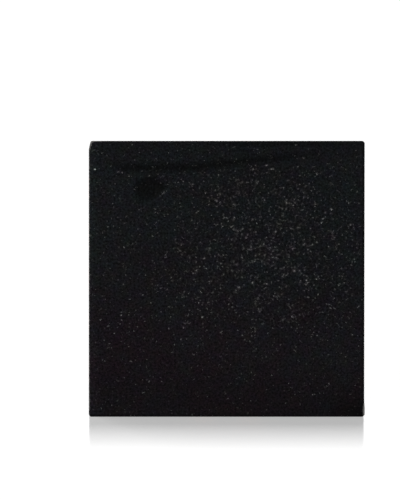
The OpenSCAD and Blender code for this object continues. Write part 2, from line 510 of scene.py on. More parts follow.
@dataclass(frozen=True)
class FilmMouldedEpoxy(Finish):
    """The same epoxy moulded against the tape under the lead frame.

    The tape leaves the underside even and smoother than the face, with a bluish black and few specks.
    """

    name: str = "black silica-filled epoxy, moulded on tape"
    ground: str = "#07070a"
    speck: str = "#33343a"
    mottle_mm: float = 0.06
    speck_mm: float = 0.06
    speck_rarity: float = 30.0
    sheen: float = 0.15

    def shader(self, tree: NodeTree, place: NodeSocket) -> Inputs:
        """Lay rare specks over a ground with a faint mottle."""
        mottle = add(tree, "TexNoise", {"Vector": place, "Scale": 1.0 / self.mottle_mm, "Detail": 3.0})
        level = add(tree, "MapRange", {"Value": mottle, **NOISE_SPAN, "To Min": 0.75, "To Max": 1.25})
        ground = add(tree, "VectorMath", {0: linear(self.ground)[:3], "Scale": level}, operation="SCALE")
        cells = add(tree, "TexVoronoi", {"Vector": place, "Scale": 1.0 / self.speck_mm}, out="Distance",
                    voronoi_dimensions="2D")
        luck = add(tree, "SeparateColor", {0: cells.node.outputs["Color"]})
        pale = add(tree, "Math", {0: luck, 1: self.speck_rarity}, operation="POWER")
        dot = add(tree, "MapRange", {"Value": cells, "From Min": 0.2, "From Max": 0.1})
        speck = add(tree, "Math", {0: pale, 1: dot}, operation="MULTIPLY")
        colour = add(tree, "Mix", {FACTOR: speck, FROM: ground, TO: linear(self.speck)}, **BLEND)
        rough = add(tree, "MapRange", {"Value": mottle, **NOISE_SPAN, "To Min": 0.18, "To Max": 0.24})
        return {"Base Color": colour, "Roughness": rough, **EPOXY, "Specular IOR Level": self.sheen}


@dataclass(frozen=True)
class MattTin(Finish):
    """Pure tin, plated matt on the etched copper.

    Its coarse grains each catch the light differently, which their base colour paints as sparkle, with dull
    pits between them, so the pads sparkle in a grey that is a little warm.
    """

    name: str = "tin, matt electroplate"
    bright: str = "#e4e2da"
    dull: str = "#797874"
    pit: str = "#262524"
    grain_mm: float = 0.02
    pit_mm: float = 0.032
    relief_mm: float = 0.0015
    rim_gleam: float = 0.6

    def shader(self, tree: NodeTree, place: NodeSocket) -> Inputs:
        """Lay pits over grains of chance brightness, which paint the sparkle, and paint a highlight along the
        rim.
        """
        cells = add(tree, "TexVoronoi", {"Vector": place, "Scale": 1.0 / self.grain_mm}, out="Color")
        luck = add(tree, "SeparateColor", {0: cells})
        # Painted sparkle: each grain's base colour is brighter or duller by chance
        grains = add(tree, "Mix", {FACTOR: luck, FROM: linear(self.dull), TO: linear(self.bright)}, **BLEND)
        hollow = add(tree, "TexNoise", {"Vector": place, "Scale": 1.0 / self.pit_mm, "Detail": 5.0,
                                        "Roughness": 0.7})
        pitted = add(tree, "MapRange", {"Value": hollow, "From Min": 0.5, "From Max": 0.36})
        rim = add(tree, "Attribute", out="Fac", attribute_name="rim")
        kept = add(tree, "MapRange", {"Value": rim, "To Min": 0.8, "To Max": 0.1})
        depth = add(tree, "Math", {0: pitted, 1: kept}, operation="MULTIPLY")
        worn = add(tree, "Mix", {FACTOR: depth, FROM: grains, TO: linear(self.pit)}, **BLEND)
        # Painted highlight along the rim, where the foot's round edge catches the light
        gleam = add(tree, "Math", {0: rim, 1: self.rim_gleam}, operation="MULTIPLY")
        colour = add(tree, "Mix", {FACTOR: gleam, FROM: worn, TO: linear(self.bright)}, **BLEND)
        rough = add(tree, "MapRange", {"Value": luck, "To Min": 0.45, "To Max": 0.6})
        bump = add(tree, "Bump", {"Height": hollow, "Strength": 0.6, "Distance": self.relief_mm * MM})
        return {"Base Color": colour, "Metallic": 0.7, "Roughness": rough, "Normal": bump}


@dataclass(frozen=True)
class SawnCopper(Finish):
    """Bare copper of the lead frame, cut by the saw.

    The blade smears it in level streaks, bright but not mirror-like, and air has browned it a little.
    """

    name: str = "copper, sawn bare"
    bright: str = "#bf7f5c"
    brown: str = "#804d35"
    streak_mm: float = 0.008
    streak_length_mm: float = 0.3
    streak_depth_mm: float = 0.0006

    def shader(self, tree: NodeTree, place: NodeSocket) -> Inputs:
        """Blend bright and browned metal along the streaks."""
        along = 1.0 / self.streak_length_mm
        drawn = add(tree, "Mapping", {"Vector": place, "Scale": (along, along, 1.0 / self.streak_mm)})
        streaks = add(tree, "TexNoise", {"Vector": drawn, "Scale": 1.0, "Detail": 3.0})
        share = add(tree, "MapRange", {"Value": streaks, "From Min": 0.35, "From Max": 0.65})
        tones = {FROM: linear(self.brown), TO: linear(self.bright)}
        colour = add(tree, "Mix", {FACTOR: share, **tones}, **BLEND)
        rough = add(tree, "MapRange", {"Value": streaks, **NOISE_SPAN, "To Min": 0.28, "To Max": 0.45})
        bump = add(tree, "Bump", {"Height": streaks, "Strength": 0.3, "Distance": self.streak_depth_mm * MM})
        return {"Base Color": colour, "Metallic": 1.0, "Roughness": rough, "Normal": bump}


@dataclass(frozen=True)
class InnerFinish(Finish):
    """A sealed piece's own material, which only a cut through the chip would show."""

    name: str
    low: str
    high: str
    metallic: float
    roughness: float
    pattern_mm: float

    def shader(self, tree: NodeTree, place: NodeSocket) -> Inputs:
        """Blend two tones of one material by noise of the size that its surface really has."""
        pattern = add(tree, "TexNoise", {"Vector": place, "Scale": 1.0 / self.pattern_mm, "Detail": 3.0})
        share = add(tree, "MapRange", {"Value": pattern, **NOISE_SPAN})
        colour = add(tree, "Mix", {FACTOR: share, FROM: linear(self.low), TO: linear(self.high)}, **BLEND)
        return {"Base Color": colour, "Metallic": self.metallic, "Roughness": self.roughness}


# Silicon is dark and glassy with a blue cast, as sawn and polished
SILICON = InnerFinish("silicon, polished", "#555d69", "#6b7480", metallic=0.6, roughness=0.18, pattern_mm=0.4)
# Silver flakes in cured epoxy give a dull, grainy grey
SILVER_EPOXY = InnerFinish("silver-filled epoxy, cured", "#8a8984", "#c3c2bb", metallic=0.7, roughness=0.5,
                           pattern_mm=0.012)
# Drawn gold is bright, with hardly any grain
GOLD_WIRE = InnerFinish("gold wire, drawn", "#d9a441", "#f0c566", metallic=1.0, roughness=0.16,
                        pattern_mm=0.01)


# The moulding


@dataclass
class Moulding:
    """The black block: a matt face with its dot, four sawn sides, and an underside cut out for the copper."""

    # Corners and edges, one corner worn
    corner_r: float = 0.03
    worn_r: float = 0.012
    worn_x: float = 0.02
    worn_y: float = 0.09
    edge_r: float = 0.009
    foot_edge: float = 0.003
    # The dot and the stain over it
    dot_d: float = 0.24
    dot_depth: float = 0.012
    dot_wall: float = 0.1
    dot_inset_x: float = 0.63
    dot_inset_y: float = 0.54
    stain_r: float = 0.134
    stain_wide: float = 1.18
    stain_x: float = 0.026
    stain_y: float = 0.02
    stain_fade: float = 0.05
    # Grid lines of the face and rings of the sides
    coarse: float = 0.0158
    fine: float = 0.0075
    fine_dot: float = 0.62
    fine_edge: float = 0.03
    samples: int = 4001
    edge_rings: int = 5
    side_rings: int = 22
    # Relief of the face, and lines of the saw that lean a little
    relief: float = 0.0011
    saw_depth: float = 0.0014
    line_length: float = 0.35
    line_height: float = 0.035
    line_lean: float = 0.06
    # The slanted side with its burr, and how far into the block each change of shape reaches
    slant_x: float = 0.006
    side_reach: float = 0.2
    burr_y: float = -1.43
    burr_half: float = 0.075
    burr_drop: float = 0.016
    burr_reach: float = 0.02
    burr_height: float = 0.08
    # Wear of the edges, partly a painted highlight along the left and upper edge, and of the face
    rub_and_light_reach: float = 0.008
    rub_and_light_fade: float = 0.01
    burr_fade: float = 0.012
    scuff_y: float = 1.215
    scuff_rise: float = 0.125
    scuff_half: float = 0.046
    smudge: Bell = Bell(x=0.96, y=1.36, wide=0.06, long=0.035)
    # Where the pale filler gathers, and where the skin is palest
    gathered: Bell = Bell(x=0.42, y=0.3, wide=1.3, long=1.25)
    palest: Bell = Bell(x=0.0, y=-0.15, wide=0.8, long=0.65)
    low: Array = field(init=False)
    high: Array = field(init=False)

    def __post_init__(self) -> None:
        """Take the block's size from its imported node."""
        self.low, self.high = box_mm("mould_body")

    @property
    def half(self) -> Array:
        """Half the width and half the length."""
        return self.high[:2]

    @property
    def top(self) -> float:
        """Height of the face."""
        return float(self.high[2])

    @property
    def dot(self) -> tuple[float, float]:
        """Centre of the dot."""
        return self.dot_inset_x - self.half[0], self.half[1] - self.dot_inset_y

    def grid_lines(self, half: float, dot: float) -> Array:
        """Grid lines across the face, closer at the dot and at both edges.

        The density of lines is 1 / coarse, raised to 1 / fine near each place that needs it by the bell
        exp(-((t - place) / reach)^4). Lines stand at equal steps of its running integral.

        Args:
            half: The lines run from -half to half.
            dot: Place of the dot's centre.

        Returns:
            Places of the lines.
        """
        t = np.linspace(-half, half, self.samples)
        density = np.full_like(t, 1.0 / self.coarse)
        finer = ((dot, self.dot_d * self.fine_dot), (-half, self.fine_edge), (half, self.fine_edge))
        for place, reach in finer:
            density += (1.0 / self.fine - 1.0 / self.coarse) * np.exp(-(((t - place) / reach) ** 4))
        count = np.concatenate([[0.0], np.cumsum((density[1:] + density[:-1]) / 2.0 * np.diff(t))])
        return np.interp(np.linspace(0.0, count[-1], int(count[-1]) + 2), count, t)

    def into_corner(self, x: Array, y: Array) -> tuple[Array, Array]:
        """How far a point of the face reaches into its corner square, along each axis."""
        radius = np.where((x < 0.0) & (y > 0.0), self.worn_r, self.corner_r) - self.edge_r
        start_x, start_y = (self.half - self.edge_r)[:, None] - radius
        return np.maximum(np.abs(x) - start_x, 0.0), np.maximum(np.abs(y) - start_y, 0.0)

    def face_height(self, x: Array, y: Array) -> Array:
        """Height of the face.

        From the top it drops by a fine relief of two sizes of noise, by the dot's recess with an eased wall,
        and by a shallow scuff along a line.
        """
        drop = 0.5 + 0.32 * lattice_noise(x, y, cell=0.045, seed=11)
        drop += 0.18 * lattice_noise(x, y, cell=0.024, seed=12)
        drop += 0.9 * self.scuff(x, y)
        from_dot = np.hypot(x - self.dot[0], y - self.dot[1])
        inside = smooth((self.dot_d / 2.0 - from_dot) / self.dot_wall + 0.5)
        rough_floor = 1.0 + 0.2 * lattice_noise(x, y, cell=0.02, seed=13)
        return self.top - self.relief * drop - self.dot_depth * inside * rough_floor

    def scuff(self, x: Array, y: Array) -> Array:
        """Share of the faint scuff across the upper part of the face.

        It is a bell across a line that rises from scuff_y by the eased share of its right half. There it gets
        narrower and fades, and it ends in a separate small smudge.
        """
        climb = rise(x, -0.5, 0.9)
        line = self.scuff_y + self.scuff_rise * climb
        line += 0.01 * lattice_noise(x, np.zeros_like(x), cell=0.2, seed=14)
        ends = rise(x, -1.35, -1.05) * rise(x, 1.05, 0.6)
        half = self.scuff_half * (1.0 - 0.3 * climb)
        streak = ends * np.exp(-(((y - line) / half) ** 2))
        return np.maximum(streak, 0.8 * self.smudge.share(x, y))

    def lean(self, y: Array) -> Array:
        """How far the left side is worn inwards: by worn_x times the share of worn_y that y has gone past."""
        return self.worn_x * np.clip((y - self.half[1] + self.worn_y) / self.worn_y, 0.0, 1.0)

    def slant(self, y: Array) -> Array:
        """How far the right side is sawn inwards: more towards its low end, where a burr is left standing."""
        share = np.clip((self.half[1] - y) / (2.0 * self.half[1]), 0.0, 1.0)
        return self.slant_x * share * (1.0 - self.burr(y))

    def burr(self, y: Array) -> Array:
        """Share of the burr at the low end of the right side, a flat bell along y."""
        return np.exp(-(((y - self.burr_y) / self.burr_half) ** 4))

    def deform(self, points: Array) -> Array:
        """Lean the worn corner in, slant the right side and round the burr's edge off."""
        x, y, z = points.T
        side, top = self.half[0], self.top
        left = self.lean(y) * rise(-x, side - self.side_reach, side)
        right = self.slant(y) * rise(x, side - self.side_reach, side)
        near = rise(x, side - self.burr_reach, side) * rise(z, top - self.burr_height, top)
        rugged = 1.0 + 0.4 * lattice_noise(y, z, cell=0.03, seed=15)
        return np.stack([x + left - right, y, z - self.burr_drop * self.burr(y) * near * rugged], axis=1)

    def blank(self) -> Object:
        """The closed block before the copper's places are cut out.

        The face is a grid over the plan. In each corner square the point (a, b) is scaled by
        max(a, b) / hypot(a, b), which turns the square corner into an arc. Rings then run outwards along the
        outline's normals: round the edge at (r sin t, r cos t), down the side, where saw lines press the wall
        in by noise that is long along the side and short in height, and in at the foot.
        """
        inner = self.half - self.edge_r
        columns = self.grid_lines(inner[0], self.dot[0])
        rows = self.grid_lines(inner[1], self.dot[1])
        x, y = (grid.ravel() for grid in np.meshgrid(columns, rows))
        a, b = self.into_corner(x, y)
        share = np.where((a > 0.0) & (b > 0.0), np.maximum(a, b) / np.maximum(np.hypot(a, b), 1e-9), 1.0)
        plan_x = np.sign(x) * (np.abs(x) - a * (1.0 - share))
        plan_y = np.sign(y) * (np.abs(y) - b * (1.0 - share))
        face = np.stack([plan_x, plan_y, self.face_height(plan_x, plan_y)], axis=1)

        numbers = np.arange(len(x)).reshape(len(rows), len(columns))
        quads = np.stack([numbers[:-1, :-1], numbers[:-1, 1:], numbers[1:, 1:], numbers[1:, :-1]], axis=-1)
        rim = np.concatenate([numbers[0, :-1], numbers[:-1, -1], numbers[-1, :0:-1], numbers[:0:-1, 0]])
        normal = np.stack([np.sign(x) * a, np.sign(y) * b], axis=1)[rim]
        normal /= np.linalg.norm(normal, axis=1, keepdims=True)

        turn = np.linspace(0.0, np.pi / 2.0, self.edge_rings)[1:]
        levels = np.linspace(self.top - self.edge_r, self.low[2] + self.foot_edge, self.side_rings)[1:]
        out = np.concatenate([self.edge_r * np.sin(turn), np.full(len(levels), self.edge_r),
                              [self.edge_r - self.foot_edge]])
        height = np.concatenate([self.top - self.edge_r * (1.0 - np.cos(turn)), levels, [self.low[2]]])
        sawn = np.concatenate([np.zeros(len(turn)), np.ones(len(levels) + 1)])
        tangent = normal[:, 0] * face[rim, 1] - normal[:, 1] * face[rim, 0]
        # Far enough apart in the noise that no two sides carry the same lines
        apart = normal @ np.array([10.0, 20.0])
        across = height[:, None] + apart[None] + self.line_lean * tangent[None]
        along = np.broadcast_to(tangent, across.shape)
        lines = lattice_noise(along / self.line_length, across / self.line_height, cell=1.0, seed=16)
        reach = out[:, None] - self.saw_depth * sawn[:, None] * (0.5 + 0.5 * lines)
        rings = np.empty((len(out), len(rim), 3))
        rings[..., :2] = face[rim, :2] + normal * reach[..., None]
        rings[..., 2] = height[:, None]

        below = len(x) + np.arange(rings.shape[0] * len(rim)).reshape(rings.shape[:2])
        bands = [ring_quads(upper, lower) for upper, lower in zip([rim, *below[:-1]], below)]
        skins = np.repeat(
            [Skin.FACE, Skin.SAWN, Skin.UNDERSIDE],
            [quads.size // 4 + len(turn) * len(rim), (len(bands) - len(turn)) * len(rim), 1],
        )
        faces = [*quads.reshape(-1, 4).tolist(), *np.concatenate(bands).tolist(), below[-1][::-1].tolist()]
        points = self.deform(np.concatenate([face, rings.reshape(-1, 3)]))
        piece = write_piece("moulding", points, faces)
        piece.data.polygons.foreach_set("material_index", skins.astype(np.int32))
        return piece

    def cutter(self, node: str) -> Object:
        """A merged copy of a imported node, in millimetres, that cuts its place out of the block.

        Faces that are flush with a side are pushed out past it, and the faces that a piece stands on are sunk
        a little into what carries it, so that no two faces lie in one plane.

        Args:
            node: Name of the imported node.

        Returns:
            The cutter.
        """
        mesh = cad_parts[node].data
        triangles = [list(polygon.vertices) for polygon in mesh.polygons]
        points = vectors(mesh.vertices, "co") / MM
        push, sink, weld = 0.05, 0.004, 1e-5
        for axis in (0, 1):
            flush = np.abs(points[:, axis]) > self.half[axis] - NEAR
            points[flush, axis] += push * np.sign(points[flush, axis])
        (_, _, die_foot), (_, _, die_top) = box_mm("die")
        copper_top = box_mm("thermal_pad")[1][2]
        seats = {"die": [die_foot], "die_adhesive": [copper_top], "bond_wire": [die_top, copper_top]}
        for seat in seats.get(node.rstrip("_0123456789"), []):
            points[np.abs(points[:, 2] - seat) < NEAR, 2] -= sink
        return write_piece("cutter_" + node, points, triangles, weld)

    def cut_out(self, blank: Object) -> None:
        """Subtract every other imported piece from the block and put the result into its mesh."""
        cutters = [self.cutter(node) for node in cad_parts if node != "mould_body"]
        group = bpy.data.collections.new("cutters")
        for cutter in cutters:
            group.objects.link(cutter)
        cut = blank.modifiers.new("cut", "BOOLEAN")
        cut.operation, cut.solver = "DIFFERENCE", "EXACT"
        cut.operand_type, cut.collection = "COLLECTION", group
        evaluated = blank.evaluated_get(bpy.context.evaluated_depsgraph_get())
        mesh = bpy.data.meshes.new_from_object(evaluated)
        blank.modifiers.clear()
        blank.data = mesh
        for cutter in cutters:
            bpy.data.objects.remove(cutter)
        bpy.data.collections.remove(group)

    def wear_and_edge_highlight_field(self, points: Array) -> Array:
        """Share of the grey of rubbing at each point, which along the left edge, and faintly along the upper
        one, also paints the highlight that the round edge catches.

        It lies on the round edge and eases off a little way into the face: along the left edge, most beside
        the worn corner, faintly along the upper edge, and on the burr.
        """
        x, y, z = points.T
        from_left, from_right = x + self.half[0] - self.lean(y), self.half[0] - self.slant(y) - x
        from_top = self.half[1] - y
        near_corner = np.exp(-((from_top / 0.1) ** 4)) * np.exp(-((from_left / 0.12) ** 2))
        reach = self.edge_r + self.rub_and_light_reach * (1.0 + near_corner)
        less, more = reach - self.rub_and_light_reach, reach + self.rub_and_light_reach
        patchy = 0.48 + 0.08 * lattice_noise(y, x, cell=0.16, seed=17)
        # Along the left edge this paints the highlight of the round edge, besides the worn corner's grey
        left = rise(from_left, reach, reach - self.rub_and_light_fade) * np.maximum(patchy, 0.9 * near_corner)
        faint = 0.32 + 0.55 * np.exp(-((from_left / 0.16) ** 2))
        upper = rise(from_top, less, less - self.rub_and_light_fade) * faint
        burr = rise(from_right, more, more - self.burr_fade) * self.burr(y)
        lowest = self.top - self.burr_drop - 1.5 * self.edge_r
        return np.maximum.reduce([left, upper, burr]) * (z > lowest)

    def filler_field(self, points: Array) -> Array:
        """How much pale filler lies close under the skin at each point, 1 where there is most.

        A wide bell stands near the middle of the face. It is cut off towards the lower edge, more on the
        right than on the left, and all but cut off above the scuff. It is below 0 in the lower right, which
        holds the fewest grains.
        """
        x, y, _ = points.T
        patchy = 1.0 + 0.12 * lattice_noise(x, y, cell=0.3, seed=20)
        lower = rise(y - 0.08 * x, -1.08, -0.38)
        upper = 0.25 + 0.75 * rise(y, 1.3, 1.18)
        fewest = 0.3 * rise(x, -0.9, -0.1) * rise(y, -0.9, -1.2)
        return 1.06 * self.gathered.share(x, y) * patchy * lower * upper - fewest

    def dark_field(self, points: Array) -> Array:
        """Share of deeper black at each point, below 0 where the skin is paler.

        It is deep in a stain over the dot, with a ragged outline, and most at its right, where it paints
        shade on the recess wall that faces the lamp. It is deep along the scuff, and just inside three of the
        face's edges, where it paints the shade of the round edge turning from the light. It is also deep in
        the corner between two of them. A wide band across the middle is paler, most at its centre, and so is
        the left edge.
        """
        x, y, _ = points.T
        from_left, from_right = self.half[0] + x, self.half[0] - x
        from_low, from_top = self.half[1] + y, self.half[1] - y
        across = (x - self.dot[0] - self.stain_x) / self.stain_wide
        from_stain = np.hypot(across, y - self.dot[1] - self.stain_y)
        ragged = 0.018 * lattice_noise(x, y, cell=0.05, seed=18)
        ragged += 0.012 * lattice_noise(x, y, cell=0.02, seed=19)
        in_dot = smooth((self.stain_r - from_stain + ragged) / self.stain_fade + 0.5)
        # Painted shade on the dot's recess wall that faces the lamp
        in_dot *= 1.0 + 0.5 * rise(across, 0.02, 0.07)
        # Painted shade just inside the upper, right and lower edges, where the round edge turns from the
        # light
        upper = 0.9 * rise(from_top, 0.07, 0.04) * np.exp(-(((x - 0.5) / 0.7) ** 4))
        right = rise(from_right, 0.032, 0.02)
        lower = 0.8 * rise(from_low, 0.04, 0.02)
        corner = 2.0 * np.exp(-from_right / 0.42 - (from_low / 0.18) ** 2)
        deep = np.maximum.reduce([in_dot, 1.2 * self.scuff(x, y), upper, right, lower, corner])
        band = rise(from_low, 0.15, 0.85) * rise(from_top, 0.0, 0.35)
        middle = band * (0.58 + 0.5 * self.palest.share(x, y))
        left = 1.4 * rise(from_left, 0.16, 0.0)
        return deep - np.maximum(1.0 - deep, 0.0) * np.maximum(middle, left)

    def build(self) -> None:
        """Make the block, cut it and dress it."""
        piece = self.blank()
        for finish in (MouldedEpoxy(self.top), SawnEpoxy(), FilmMouldedEpoxy()):
            piece.data.materials.append(finish.material())
        self.cut_out(piece)
        points = vectors(piece.data.vertices, "co")
        give_field(piece.data, "wear_and_edge_highlight", self.wear_and_edge_highlight_field(points))
        give_field(piece.data, "filler", self.filler_field(points))
        give_field(piece.data, "dark", self.dark_field(points))
        finish_piece(piece, "mould_body", sharp=40.0)


# The etched copper


@dataclass
class EtchedPiece:
    """What the terminals and the thermal pad share: a tinned foot, a half-etched ledge and sawn ends."""

    tin: Material
    copper: Material
    ledge_t: float = 0.1
    edge_r: float = 0.012
    edge_steps: int = 4
    face_pitch: float = 0.022
    relief: float = 0.0016
    rim_width: float = 0.02

    def foot_rings(self) -> list[tuple[float, float]]:
        """Inset and height of the rings that round the foot's lower edge, by a quarter circle."""
        turn = np.linspace(0.0, np.pi / 2.0, self.edge_steps)
        return list(zip(self.edge_r * (1.0 - np.sin(turn)), self.edge_r * (1.0 - np.cos(turn))))

    def loft(self, name: str, rings: list[Array], ends: int) -> Object:
        """Close a stack of rings into a solid.

        The lowest ring is filled with triangles that carry the tin's fine relief, bands join each ring to the
        next and the highest ring is one flat face.

        Args:
            name: Name of the piece.
            rings: Rings of points, anticlockwise from above, from the lowest to the highest.
            ends: Axis along which the sawn ends look.

        Returns:
            The piece, in millimetres, with its rim field and its two materials.
        """
        sizes = np.cumsum([0] + [len(ring) for ring in rings])
        numbers = [np.arange(start, stop) for start, stop in zip(sizes[:-1], sizes[1:])]
        bands = [ring_quads(upper, lower) for lower, upper in zip(numbers[:-1], numbers[1:])]
        flat, triangles = filled(unique_ring(rings[0][:, :2]), self.face_pitch)
        faces = [*np.concatenate(bands).tolist(), numbers[-1].tolist()]
        faces += (triangles[:, ::-1] + sizes[-1]).tolist()
        piece = write_piece(name, np.vstack([*rings, at_height(flat, rings[0][0, 2])]), faces)
        self.dress(piece.data, rings[0], ends)
        return piece

    def dress(self, mesh: Mesh, foot: Array, ends: int) -> None:
        """Give a lofted mesh its relief, its rim field and its materials."""
        points = vectors(mesh.vertices, "co")
        gap = np.linalg.norm(points[:, None, :2] - foot[None, :, :2], axis=2).min(1)
        lowest = points[:, 2] < TINY
        noise = 0.6 * lattice_noise(points[:, 0], points[:, 1], cell=0.05, seed=21)
        noise += 0.4 * lattice_noise(points[:, 0], points[:, 1], cell=0.026, seed=22)
        lift = self.relief * (0.5 + 0.5 * noise) * smooth(gap / self.rim_width)
        points[:, 2] += np.where(lowest, lift, 0.0)
        mesh.vertices.foreach_set("co", points.astype(np.float32).ravel())
        mesh.update()
        give_field(mesh, "rim", np.clip(1.0 - gap / self.rim_width, 0.0, 1.0))
        mesh.materials.append(self.tin)
        mesh.materials.append(self.copper)
        level, steep = np.abs(points[:, ends]).max() - NEAR, 0.99
        sawn = np.abs(vectors(mesh.polygons, "normal")[:, ends]) > steep
        sawn &= np.abs(vectors(mesh.polygons, "center")[:, ends]) > level
        mesh.polygons.foreach_set("material_index", np.where(sawn, Metal.COPPER, Metal.TIN).astype(np.int32))


@dataclass
class Terminal(EtchedPiece):
    """One terminal: a foot with a round end, and a longer ledge above it that keys it into the moulding."""

    number: int = 1
    tip: float = 0.07
    arc_steps: int = 24

    def plan(self, length: float, foot: float, width: float, inset: float) -> Array:
        """Outline from the sawn end at x = 0 to a round end.

        The sides run at half the width less the inset, with a point where the foot's round end begins, and
        the end is a half circle about the middle of its width.

        Args:
            length: Reach of the round end.
            foot: Reach of the foot's round end.
            width: Width of the terminal.
            inset: How far the sides lie in from the full width.

        Returns:
            Points, anticlockwise.
        """
        half = width / 2.0 - inset
        turn = np.linspace(-np.pi / 2.0, np.pi / 2.0, self.arc_steps + 1)
        arc = np.stack([length - width / 2.0 + half * np.cos(turn), half * np.sin(turn)], axis=1)
        start = foot - width / 2.0
        return np.vstack([[0.0, -half], [start, -half], arc, [start, half], [0.0, half]])

    def build(self) -> None:
        """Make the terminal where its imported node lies."""
        node = f"terminal_{self.number}"
        low, high = box_mm(node)
        length, width, height = high - low
        foot = length - self.tip
        shelf = height - self.ledge_t
        stack = [(foot, inset, z) for inset, z in self.foot_rings()]
        stack += [(foot, 0.0, shelf), (length, 0.0, shelf), (length, 0.0, height)]
        side = np.sign(low[0])
        start = np.array([side * np.abs([low[0], high[0]]).max(), (low[1] + high[1]) / 2.0])
        rings = [
            at_height(start - side * self.plan(reach, foot, width, inset), z) for reach, inset, z in stack
        ]
        piece = self.loft(f"tinned_terminal_{self.number}", rings, ends=0)
        finish_piece(piece, node, sharp=50.0)


def rounded_outline(corners: Array, radii: Array, steps: int) -> tuple[Array, Array]:
    """Points and outward normals of a closed outline with an arc at each corner.

    At a corner that turns by the angle q, the arc starts r tan(|q| / 2) before it. Its normal turns from that
    of the edge before to that of the edge after, and each point lies along the normal from the arc's centre,
    outwards in an outer corner and inwards in an inner one.

    Args:
        corners: Corners, anticlockwise.
        radii: Radius at each corner.
        steps: Steps along each arc.

    Returns:
        The points and the normals.
    """
    before = corners - np.roll(corners, 1, axis=0)
    before /= np.linalg.norm(before, axis=1, keepdims=True)
    after = np.roll(before, -1, axis=0)
    turn = np.arctan2(before[:, 0] * after[:, 1] - before[:, 1] * after[:, 0], (before * after).sum(1))
    signed = (radii * np.sign(turn))[:, None]
    normal = np.stack([before[:, 1], -before[:, 0]], axis=1)
    start = corners - before * (radii * np.tan(np.abs(turn) / 2.0))[:, None]
    centre = start - normal * signed
    angle = turn[:, None] * np.linspace(0.0, 1.0, steps + 1)[None]
    cos, sin = np.cos(angle), np.sin(angle)
    swept = np.stack(
        [normal[:, :1] * cos - normal[:, 1:] * sin, normal[:, :1] * sin + normal[:, 1:] * cos], axis=-1
    )
    points = centre[:, None] + swept * signed[:, None]
    return points.reshape(-1, 2), swept.reshape(-1, 2)


@dataclass
class ThermalPad(EtchedPiece):
    """The exposed pad: a plate with a cut corner, two tie bars at each end and a ledge round its top."""

    chamfer: float = 0.3
    corner_r: float = 0.05
    ledge: float = 0.08
    bar_w: float = 0.24
    bar_pitch: float = 0.5
    fillet_r: float = 0.09
    plate_half_l: float = 1.2
    arc_steps: int = 8

    def corners(self, half_w: float, half_l: float, end: float, grow: float) -> tuple[Array, Array]:
        """Corners of the pad, grown past its exposed face, and their radii.

        The cut corner keeps its slope: each of its ends moves along the side by grow tan(22.5 degrees). Each
        tie bar has a point on either side where the ledge's fillets end, so that both outlines share it.

        Args:
            half_w: Half the exposed width.
            half_l: Half the exposed length.
            end: Where the tie bars are sawn off.
            grow: How far the outline lies outside the exposed face.

        Returns:
            The corners, anticlockwise, and the radius at each.
        """
        w, l = half_w + grow, half_l + grow
        near, far = (self.bar_pitch - self.bar_w) / 2.0, (self.bar_pitch + self.bar_w) / 2.0
        split = half_l + self.ledge + self.fillet_r
        slide = self.chamfer - grow * math.tan(math.pi / 8.0)

        def bar(inner: float, outer: float, sign: float) -> list[tuple[float, float, float]]:
            """Corners of a tie bar, from the side at inner to the side at outer."""
            up = [(inner, l, self.fillet_r), (inner, split, 0.0), (inner, end, 0.0)]
            down = [(outer, end, 0.0), (outer, split, 0.0), (outer, l, self.fillet_r)]
            return [(x, sign * y, r) for x, y, r in up + down]

        top = [*bar(far, near, 1.0), *bar(-near, -far, 1.0)]
        cut = [(slide - half_w, l, self.corner_r), (-w, half_l - slide, self.corner_r)]
        bottom = [*bar(-far, -near, -1.0), *bar(near, far, -1.0)]
        ring = [(w, -l, self.corner_r), (w, l, self.corner_r), *top, *cut, (-w, -l, self.corner_r), *bottom]
        table = np.array(ring)
        return table[:, :2], table[:, 2]

    def build(self) -> None:
        """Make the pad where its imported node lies."""
        low, high = box_mm("thermal_pad")
        half_w, end, height = high[0] - self.ledge, high[1], high[2] - low[2]
        shelf = height - self.ledge_t
        foot = [*self.foot_rings(), (0.0, shelf)]
        plate = [(0.0, shelf), (0.0, height)]
        rings = []
        for grow, levels in ((0.0, foot), (self.ledge, plate)):
            corners, radii = self.corners(half_w, self.plate_half_l, end, grow)
            points, normals = rounded_outline(corners, radii, self.arc_steps)
            sawn = np.abs(points[:, 1]) > end - TINY
            outward = np.sign(points[:, 0]) * np.sign(np.abs(points[:, 0]) - self.bar_pitch / 2.0)
            normals = np.where(sawn[:, None], np.stack([outward, np.zeros(len(points))], axis=1), normals)
            rings += [at_height(points - normals * inset, z) for inset, z in levels]
        piece = self.loft("tinned_thermal_pad", rings, ends=1)
        finish_piece(piece, "thermal_pad", sharp=50.0)


# The studio


